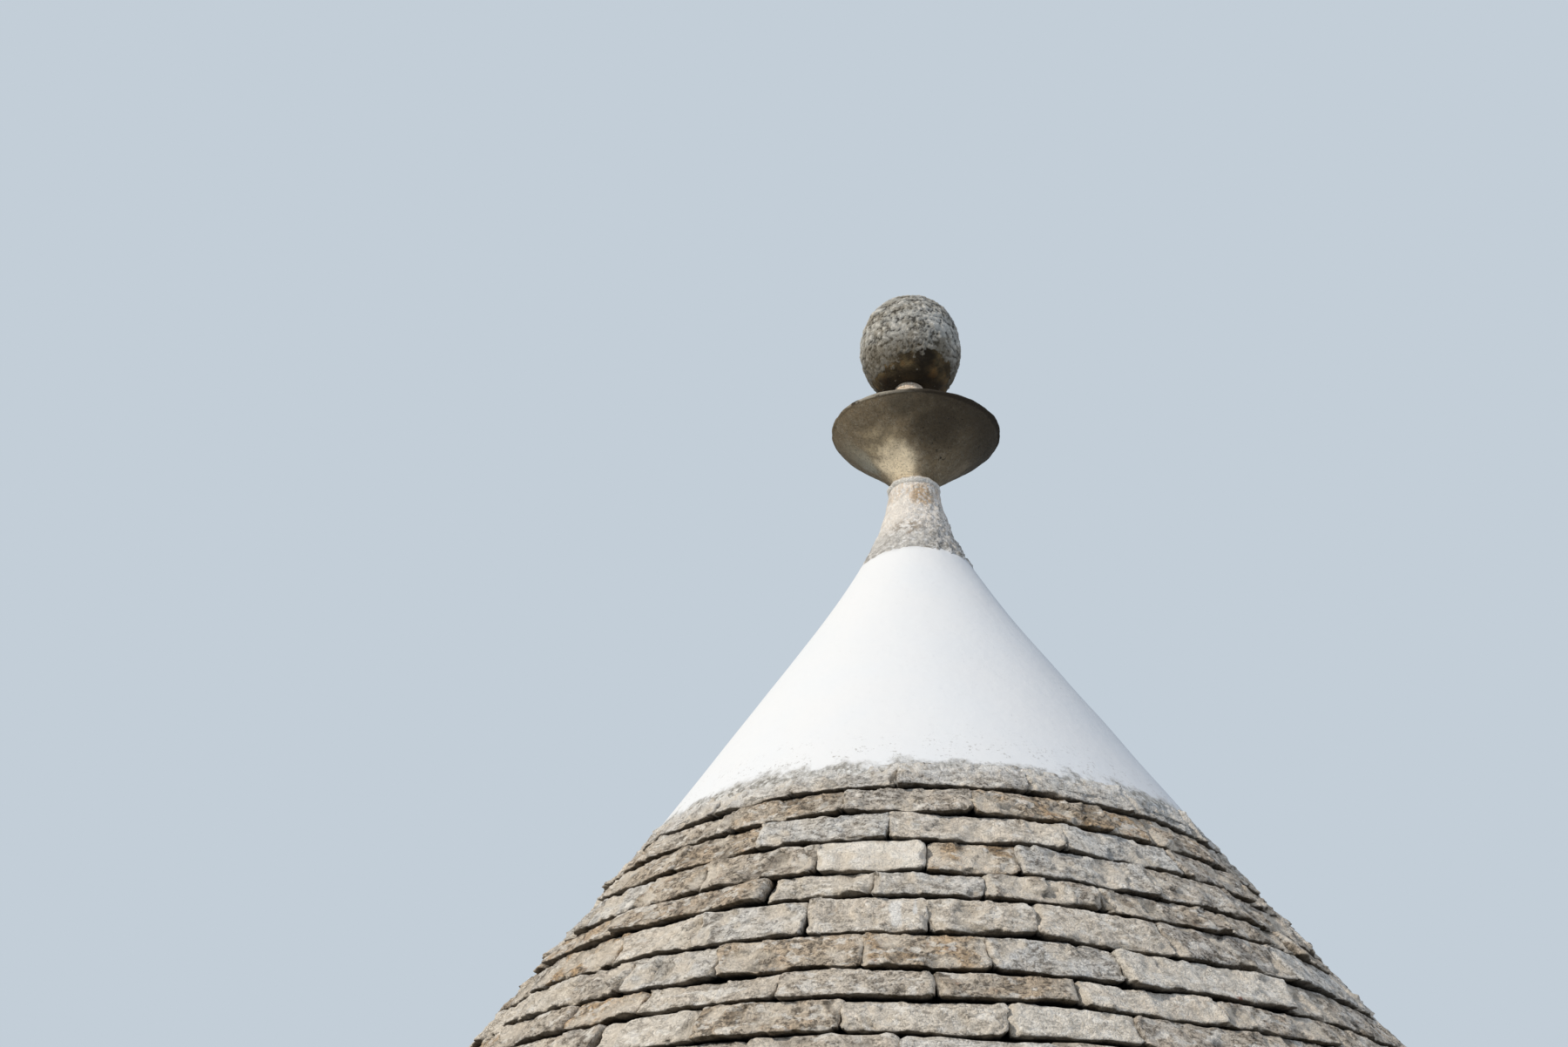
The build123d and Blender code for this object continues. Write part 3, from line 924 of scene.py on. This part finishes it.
# Lime mortar: pale, sandy and matt, stained by what runs off the dish
def limeMortar():
    material, tree, where = newMaterial("limeMortar")
    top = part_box("dish_bed")[1].z
    grit, runs, lumps = patternsOf(tree, where, bed["patterns"])
    upper = along(tree, where, 2, *(top + z for z in bed["stainedTop"]), 0.0, "LINEAR")
    colour = coats(tree, bed, "lime", ("grit", 0.7, grit), ("stain", 0.6, runs, upper))
    return finished(material, colour, bed["sheen"], (grit, 1.2), (lumps, 1.2))


# Outline of a flat round piece with rounded edges
def discOutline(low, high, radius, edge):
    half = [(radius - edge, 0), (radius - 0.3 * edge, 0.3 * edge), (radius, edge)]
    points = [(0, low)] + [(x, low + z) for x, z in half]
    return [Vector(p) for p in points + [(x, high - z) for x, z in reversed(half)] + [(0, high)]]


def makeBed():
    low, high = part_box("dish_bed")
    bm = turned(discOutline(low.z, high.z, high.x, bed["round"]), bed["row"], bed["segments"])

    def relief(point, normal):
        squeezed = ruffles(point, *bed["squeeze"]) + waves(point, *bed["sand"])
        return (1 - abs(normal.z) ** 4) * (squeezed + bed["swollen"])
    raiseRelief(bm, relief)
    place(makeObject(bm, "dishBed", limeMortar()), "lime_plaster", "dish_bed")


# Dish cut from one stone, set a little off the axis and leaning a little
dish = {
    "offset": 0.009, "shift": -0.0064, "lean": (0.034, -0.014), "footRadius": 0.050,
    "belly": ((0.0955, 0.0641), (0.2022, 0.1323)),    # how the underside swells: radius, height
    # how far the rim is worn down in front, and how far forward and out that begins
    "dip": 0.0065, "dipFrom": (0.35, 0.5),
    "rimThickness": 0.010, "crownRise": 0.028, "crownRadius": 0.076, "segments": 280, "row": 0.0050,
    "rough": (0.03, 0.0012, 0.9, 3), "warp": (0.09, 0.0020), "worn": (0.035, 0.0018), "wornRim": 0.02,
    "patina": "7F7058", "dark": "2F271C", "grey": "A39A87", "pit": "18130D", "rim": "B1A999",
    "crust": "A9A59B", "sheen": (0.85, 0.3),
    "stains": (
        ((-0.080, -0.095, 2.625), 0.085, "B4A485", 0.75),    # combed and washed
        ((-0.123, 0.000, 2.630), 0.055, "A8A392", 0.80),
        ((-0.160, -0.010, 2.657), 0.060, "948C78", 0.60),
        ((-0.042, -0.066, 2.575), 0.084, "FBE9C8", 0.92),    # cream where the rain runs off, partly painted light reflected from the plaster
        ((0.122, 0.020, 2.617), 0.045, "8F8069", 0.65),
        ((-0.020, -0.195, 2.700), 0.060, "4E4638", 0.60),
        ((0.060, -0.140, 2.665), 0.100, "2F271C", 0.65),
    ),
    "combed": ((-0.090, -0.110, 2.635), 0.085),
    "combSize": 38, "cloudSize": 70,    # mm
    # painted shade on the right side rises with x and with a cloud; pits and a painted highlight on the rim
    # each have a side along x
    "shadeSide": (0.08, 0.25), "shadeTilt": 0.40, "shadeCloud": 0.07,
    "pitSide": (-0.04, 0.05), "rimHighlightSide": (0.04, -0.10), "rimEdge": (-0.0045, -0.0020),
    "skyward": (0.6, 0.9),    # how far a face looks up
    "patterns": {
        "blotch": (18, 0.42, 0.62), "grain": (4, 0.40, 0.62), "pits": (8, 0.63, 0.68, 2.0),
        "speckle": (6, 0.50, 0.64, 3.0), "crusty": (25, 0.32, 0.52), "rare": (60, 0.45, 0.60),
        "rimPatch": (30, 0.36, 0.52),
    },
}


# Fine limestone under a dark patina: smooth and tight, with pin holes, and cream where the
# rain runs off, there partly painted light reflected from the plaster. Painted shade darkens
# its right side and a painted highlight lies on the left of the rim. Faint slanting lines are
# the mason's comb.
def patinatedLimestone():
    material, tree, where = newMaterial("patinatedLimestone")
    low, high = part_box("pinnacle_dish")
    rimRadius = high.x - dish["offset"]
    blotch, grain, pits, speckle, crusty, rare, rimPatch = patternsOf(tree, where, dish["patterns"])
    parts = addNode(tree, "SeparateXYZ", {0: where}).node.outputs
    level = addNode(tree, "TexNoise", {
        "Vector": where, "Scale": 1000 / dish["cloudSize"], "Detail": 6.0, "Roughness": 0.6})
    level = addNode(tree, "Math", {
        "operation": "MULTIPLY_ADD", 0: level, 1: dish["shadeCloud"], 2: parts["Z"]})
    level = addNode(tree, "Math", {
        "operation": "MULTIPLY_ADD", 0: parts["X"], 1: dish["shadeTilt"], 2: level})
    # painted shade: the right side of the dish darker
    start, end = dish["shadeSide"]
    right = addNode(tree, "MapRange", {"interpolation_type": "SMOOTHSTEP", "Value": level,
                                       "From Min": low.z + start, "From Max": low.z + end})
    skyward = along(tree, addNode(tree, "NewGeometry", {}, "Normal"), 2, *dish["skyward"])
    pits = product(tree, pits, along(tree, where, 0, *dish["pitSide"], 0.15, "LINEAR"))
    edge = addNode(tree, "VectorMath", {
        "operation": "MULTIPLY_ADD", 0: where, 1: (1, 1, 0), 2: (-dish["offset"] - dish["shift"], 0, 0)})
    edge = addNode(tree, "VectorMath", {"operation": "LENGTH", 0: edge}, "Value")
    start, end = dish["rimEdge"]
    edge = addNode(tree, "MapRange", {"interpolation_type": "SMOOTHSTEP", "Value": edge,
                                      "From Min": rimRadius + start, "From Max": rimRadius + end})
    # painted highlight along the left of the rim
    left = along(tree, where, 0, *dish["rimHighlightSide"])
    comb = addNode(tree, "TexWave", {"Vector": where, "Scale": 1000 / dish["combSize"],
                                     "Distortion": 2.5, "Detail": 2.0, "Detail Scale": 2.0,
                                     "bands_direction": "DIAGONAL"}, "Fac")
    comb = product(tree, comb, stain(tree, where, *dish["combed"]))
    colour = coats(
        tree, dish, "patina", ("grey", 0.6, blotch, grain), ("dark", 0.85, right),
        *stainsOf(tree, where, dish["stains"]), ("dark", 0.34, speckle), ("crust", 0.85, skyward, crusty),
        ("pit", 0.9, pits, rare), ("dark", 0.85, edge), ("rim", 0.85, edge, left, rimPatch),
        ("dark", 0.5, comb))
    return finished(material, colour, dish["sheen"], (blotch, 0.7), (grain, 1.2), (pits, -1.8), (comb, 1.8))


def makeDish():
    low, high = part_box("pinnacle_dish")
    rimRadius = high.x - dish["offset"]
    half = dish["rimThickness"] / 2
    rimFoot = high.z - dish["crownRise"] - dish["rimThickness"]
    start, end = Vector((dish["footRadius"], low.z)), Vector((rimRadius - half, rimFoot))
    lower, upper = (Vector((radius, low.z + height)) for radius, height in dish["belly"])
    under = geometry.interpolate_bezier(start, lower, upper, end, 24)
    rim = [end + Vector((half * math.sin(a), half - half * math.cos(a))) for a in (0.8, 1.57, 2.35, 3.14)]
    outline = [Vector((0, low.z))] + [Vector(p[:2]) for p in under] + rim
    outline += [Vector((dish["crownRadius"], high.z)), Vector((0, high.z))]
    bm = turned(outline, dish["row"], dish["segments"])
    size, depth = dish["worn"]
    forward, outward = dish["dipFrom"]

    def relief(point, normal):
        side = 1 - smooth(abs(normal.z), 0.97, 1.0)
        rough = ruffles(point, *dish["rough"]) + waves(point, *dish["warp"])
        worn = smooth(point.xy.length, rimRadius - dish["wornRim"], rimRadius)
        return side * (rough - worn * depth * max(0, noise.noise(point / size)))
    raiseRelief(bm, relief)
    for vert in bm.verts:
        inFront = smooth(-vert.co.y / rimRadius, forward, 1.0)
        vert.co.z -= dish["dip"] * inFront * smooth(vert.co.xy.length, outward * rimRadius, rimRadius)
    leaning = Vector((0, 0, 1)).rotation_difference(Vector(dish["lean"] + (1,))).to_matrix()
    bmesh.ops.rotate(bm, cent=(0, 0, low.z), matrix=leaning, verts=bm.verts)
    bmesh.ops.translate(bm, vec=(dish["offset"] + dish["shift"], 0, 0), verts=bm.verts)
    place(makeObject(bm, "pinnacleDish", patinatedLimestone()), "dish_stone", "pinnacle_dish")


# Short collar on the dish, tapering up to the ball
collar = {
    "seatRadius": 0.038, "sunk": 0.006, "shift": -0.006, "segments": 130, "row": 0.0035,
    "knobs": (0.008, 0.0022), "swell": (0.03, 0.002),
    "cream": "F4E6D2", "pink": "DCC0A4", "dark": "948468", "sheen": (0.93, 0.25),
    "patterns": {"grain": (5, 0.42, 0.60), "lichen": (14, 0.54, 0.66)},
}


# Coarse granular limestone, kept clean and warm in the shelter of the ball
def granularLimestone():
    material, tree, where = newMaterial("granularLimestone")
    grain, lichen = patternsOf(tree, where, collar["patterns"])
    colour = coats(tree, collar, "cream", ("pink", 0.8, grain), ("dark", 0.5, lichen))
    return finished(material, colour, collar["sheen"], (grain, 1.4))


def makeCollar():
    low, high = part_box("ball_collar")
    foot, seat = low.z - collar["sunk"], high.z + ball["lift"]
    outline = [Vector(p) for p in ((0, foot), (high.x, foot), (high.x, low.z),
                                   (collar["seatRadius"], seat), (0, seat))]
    bm = turned(outline, collar["row"], collar["segments"])

    def relief(point, normal):
        return (1 - abs(normal.z) ** 6) * (knobs(point, *collar["knobs"]) + waves(point, *collar["swell"]))
    raiseRelief(bm, relief)
    bmesh.ops.translate(bm, vec=(collar["shift"], 0, 0), verts=bm.verts)
    place(makeObject(bm, "ballCollar", granularLimestone()), "pinnacle_stone", "ball_collar")


# Ball under a crust of lichen grains, bare underneath
ball = {
    "seatRadius": 0.038, "seatToMiddle": 0.136, "segments": 320, "row": 0.0027,
    "sideBow": 1.38, "haunch": (0.67, 0.745), "lift": 0.006,
    "grains": (0.0052, 0.0028), "lumps": (0.045, 0.0028, 0.9, 2), "pitSize": 0.018, "pit": 0.0048,
    "ripple": 0.0012, "rippleWidth": 0.04, "rippleHeight": 0.009,
    "crustProud": 0.003, "bareSunk": 0.001, "crestHeight": 0.006,
    "seatEdge": (0.001, 0.012), "seatShade": (0.002, 0.022),    # above the seat
    # lower edge of the crust: from the middle, its rise on one side, waves, softness
    "crustEdge": -0.118, "edgeRise": 0.036, "edgeTowards": 35.0,
    "edgeRagged": (0.03, 0.012, 0.8, 3), "fade": (-0.004, 0.028),
    "crust": "A09A8D", "pale": "EBE7DD", "cool": "B4B4AF", "gap": "25211A", "bare": "716144",
    "dark": "241C12", "ochre": "86663C", "olive": "5A5140", "sheen": (0.94, 0.25),
    # heights of the grains that are painted pale, partly lichen and partly highlight, and of the
    # gaps painted dark as shade, of the solid crust, and how far below the middle the ball is
    # fully olive, a browner crust darkened as painted shade
    "crests": ((0.48, 0.80), (0.46, 0.16)), "solid": (0.80, 1.05), "oliveDepth": 0.10,
    "stains": (
        ((0.046, -0.101, 2.906), 0.055, "1C160E", 0.90),    # painted shadow under the lip of the crust
        ((0.058, -0.055, 2.868), 0.022, "9C7240", 0.60),
    ),
    "crustStains": (((0.084, -0.105, 3.010), 0.060, "D6D5CE", 0.5),),
    "patterns": {
        "grain": (4, 0.42, 0.60), "shade": (40, 0.35, 0.62), "warm": (34, 0.50, 0.70),
        "cooler": (50, 0.4, 0.6), "frost": (12, 0.34, 0.58), "fine": (2.5, 0.35, 0.65, 2.0),
        "rough": (8, 0.40, 0.62),
    },
}


# How far a point of the ball lies under the crust, from 0 to 1
def crustShare(point, middle):
    towards = math.radians(ball["edgeTowards"])
    facing = Vector((math.sin(towards), -math.cos(towards))).dot(point.xy.normalized())
    edge = middle + ball["crustEdge"] + ball["edgeRise"] * max(0, facing) ** 3
    edge += ruffles(point, *ball["edgeRagged"])
    return smooth(point.z - edge, *ball["fade"])


# Limestone ball under a lichen crust: grey grains with dark pits, bare brown stone below.
# Painted shade darkens the gaps between grains, the crust towards the bottom, the underside
# of its lip and the bare stone round the seat; the grain tops are painted pale, partly as highlight.
def lichenedLimestone(middle):
    material, tree, where = newMaterial("lichenedLimestone")
    tone = addNode(tree, "Attribute", {"attribute_name": "crust"}, "Color")
    crusted, crest, seatShade = addNode(tree, "SeparateColor", {0: tone}).node.outputs
    grain, shade, warm, cooler, frost, fine, rough = patternsOf(tree, where, ball["patterns"])
    top, low = (addNode(tree, "MapRange", {"interpolation_type": "SMOOTHSTEP", "Value": crest,
                                           "From Min": start, "From Max": end})
                for start, end in ball["crests"])
    # the last dark coat is painted shade round the seat
    bare = coats(tree, ball, "bare", ("dark", 0.80, shade), ("ochre", 0.45, warm),
                 *stainsOf(tree, where, ball["stains"]), ("dark", 0.8, seatShade))
    # painted highlight on the grain tops, partly pale lichen; painted shade in the gaps and, as olive, on the
    # lower crust
    crust = coats(tree, ball, "crust", ("cool", 0.8, cooler), ("pale", 0.8, top, frost),
                  *stainsOf(tree, where, ball["crustStains"]), ("gap", 0.85, low),
                  ("olive", 0.75, along(tree, where, 2, middle, middle - ball["oliveDepth"])))
    start, end = ball["solid"]
    solid = addNode(tree, "Math", {0: crusted, 1: crest})
    solid = addNode(tree, "MapRange", {"Value": solid, "From Min": start, "From Max": end})
    return finished(material, coat(tree, bare, crust, 1.0, solid), ball["sheen"],
                    (grain, 0.9), (fine, 0.5), (rough, 0.7))


def ballOutline(low, high):
    radius, seat, foot = high.x, ball["seatRadius"], low.z + ball["lift"]
    middle = low.z + ball["seatToMiddle"]
    rise = high.z - middle
    across, down = ball["haunch"]
    haunch = Vector((mixed(seat, radius, across), middle - down * ball["seatToMiddle"]))
    side = ball["sideBow"] * rise
    crown = (radius ** 2 + rise ** 2 - 2 * radius * side) / (2 * (rise - side))
    turn = math.atan2(rise - crown, side - radius)
    meeting = Vector((crown * math.cos(turn), high.z - crown + crown * math.sin(turn)))
    widest = Vector((radius, middle))
    lower = arcPoints(widest, Vector((0, -1)), [haunch, Vector((seat, foot))], 20)
    upper = arcPoints(widest, Vector((0, 1)), [meeting, Vector((0, high.z))], 20)
    return [Vector((0, foot))] + lower[::-1] + [widest] + upper


def makeBall():
    low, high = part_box("pinnacle_ball")
    middle = low.z + ball["seatToMiddle"]
    bm = turned(ballOutline(low, high), ball["row"], ball["segments"])
    seat = low.z + ball["lift"]
    colours = []

    def relief(point, normal):
        crusted = crustShare(point, middle)
        pitted = noise.turbulence(point / ball["pitSize"], 3, True) - 0.45
        grains = knobs(point, *ball["grains"]) + ball["pit"] * pitted
        width, height = ball["rippleWidth"], ball["rippleHeight"]
        grains += ball["ripple"] * noise.noise(Vector((point.x / width, point.y / width, point.z / height)))
        seatShade, free = (smooth(point.z, *(seat + z for z in ball[name])) for name in ("seatShade", "seatEdge"))
        crest = clamp(0.5 + grains / ball["crestHeight"], 0, 1)
        # the third colour is painted shade just above the seat
        colours.extend((crusted, crest, 1 - seatShade, 1.0))
        lumps = ruffles(point, *ball["lumps"])
        return free * (lumps + crusted * (grains + ball["crustProud"]) - ball["bareSunk"])
    raiseRelief(bm, relief)
    piece = makeObject(bm, "pinnacleBall", lichenedLimestone(middle))
    paint(piece, "crust", colours)
    place(piece, "ball_stone", "pinnacle_ball")
    print("pinnacle made")


closingSlab = {
    "edge": 0.008, "segments": 72, "row": 0.018, "rough": (0.05, 0.003, 0.9, 3),
    "stoneTone": (0.5, 0.15, 0.0, 0.2), "stoneWear": (0.5, 0.3, 0.0, 0.0),
}


# Slab that closes the eye of the vault
def makeClosingSlab(material):
    low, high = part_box("closing_slab")
    outline = discOutline(low.z, high.z, high.x, closingSlab["edge"])
    bm = turned(outline, closingSlab["row"], closingSlab["segments"])
    raiseRelief(bm, lambda point, normal: ruffles(point, *closingSlab["rough"]))
    slab = makeObject(bm, "closingSlab", material)
    for name in ("stoneTone", "stoneWear"):
        paint(slab, name, closingSlab[name] * len(slab.data.vertices))
    place(slab, "vault_stone", "closing_slab")


rubble = {"earth": "4E3F2C", "stone": "8A7B66", "dark": "211B14", "chipSize": 40, "gritSize": 5,
          "sheen": (0.95, 0.15)}


# Rubble packed in red-brown earth, seen only as the darkness behind the joints
def rubbleInEarth():
    material, tree, where = newMaterial("rubbleInEarth")
    cells = addNode(tree, "TexVoronoi", {"Vector": where, "Scale": 1000 / rubble["chipSize"]})
    stone = addNode(tree, "MapRange", {
        "interpolation_type": "SMOOTHSTEP", "Value": cells, "From Min": 0.50, "From Max": 0.30})
    grit = patches(tree, where, rubble["gritSize"], 0.40, 0.62)
    colour = coats(tree, rubble, "earth", ("stone", 0.8, stone), ("dark", 0.7, grit))
    return finished(material, colour, rubble["sheen"], (stone, 6.0), (grit, 1.5))


def finishHiddenFill():
    material = rubbleInEarth()
    for node in ("packing_stones", "summit_core"):
        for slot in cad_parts[node].material_slots:
            slot.material = material


makeCamera()
makeStudio()
slabStone = weatheredLimestone("weatheredLimestone", weathered)
makeSlabCourses(slabStone)
vaultStone = weatheredLimestone("hammeredLimestone", vault["finish"])
makeVault(vaultStone)
makeSpringing(slabStone)
makeClosingSlab(vaultStone)
makeCap()
makeNeck()
makeBed()
makeDish()
makeCollar()
makeBall()
finishHiddenFill()

bpy.context.scene.view_settings.view_transform = "Standard"
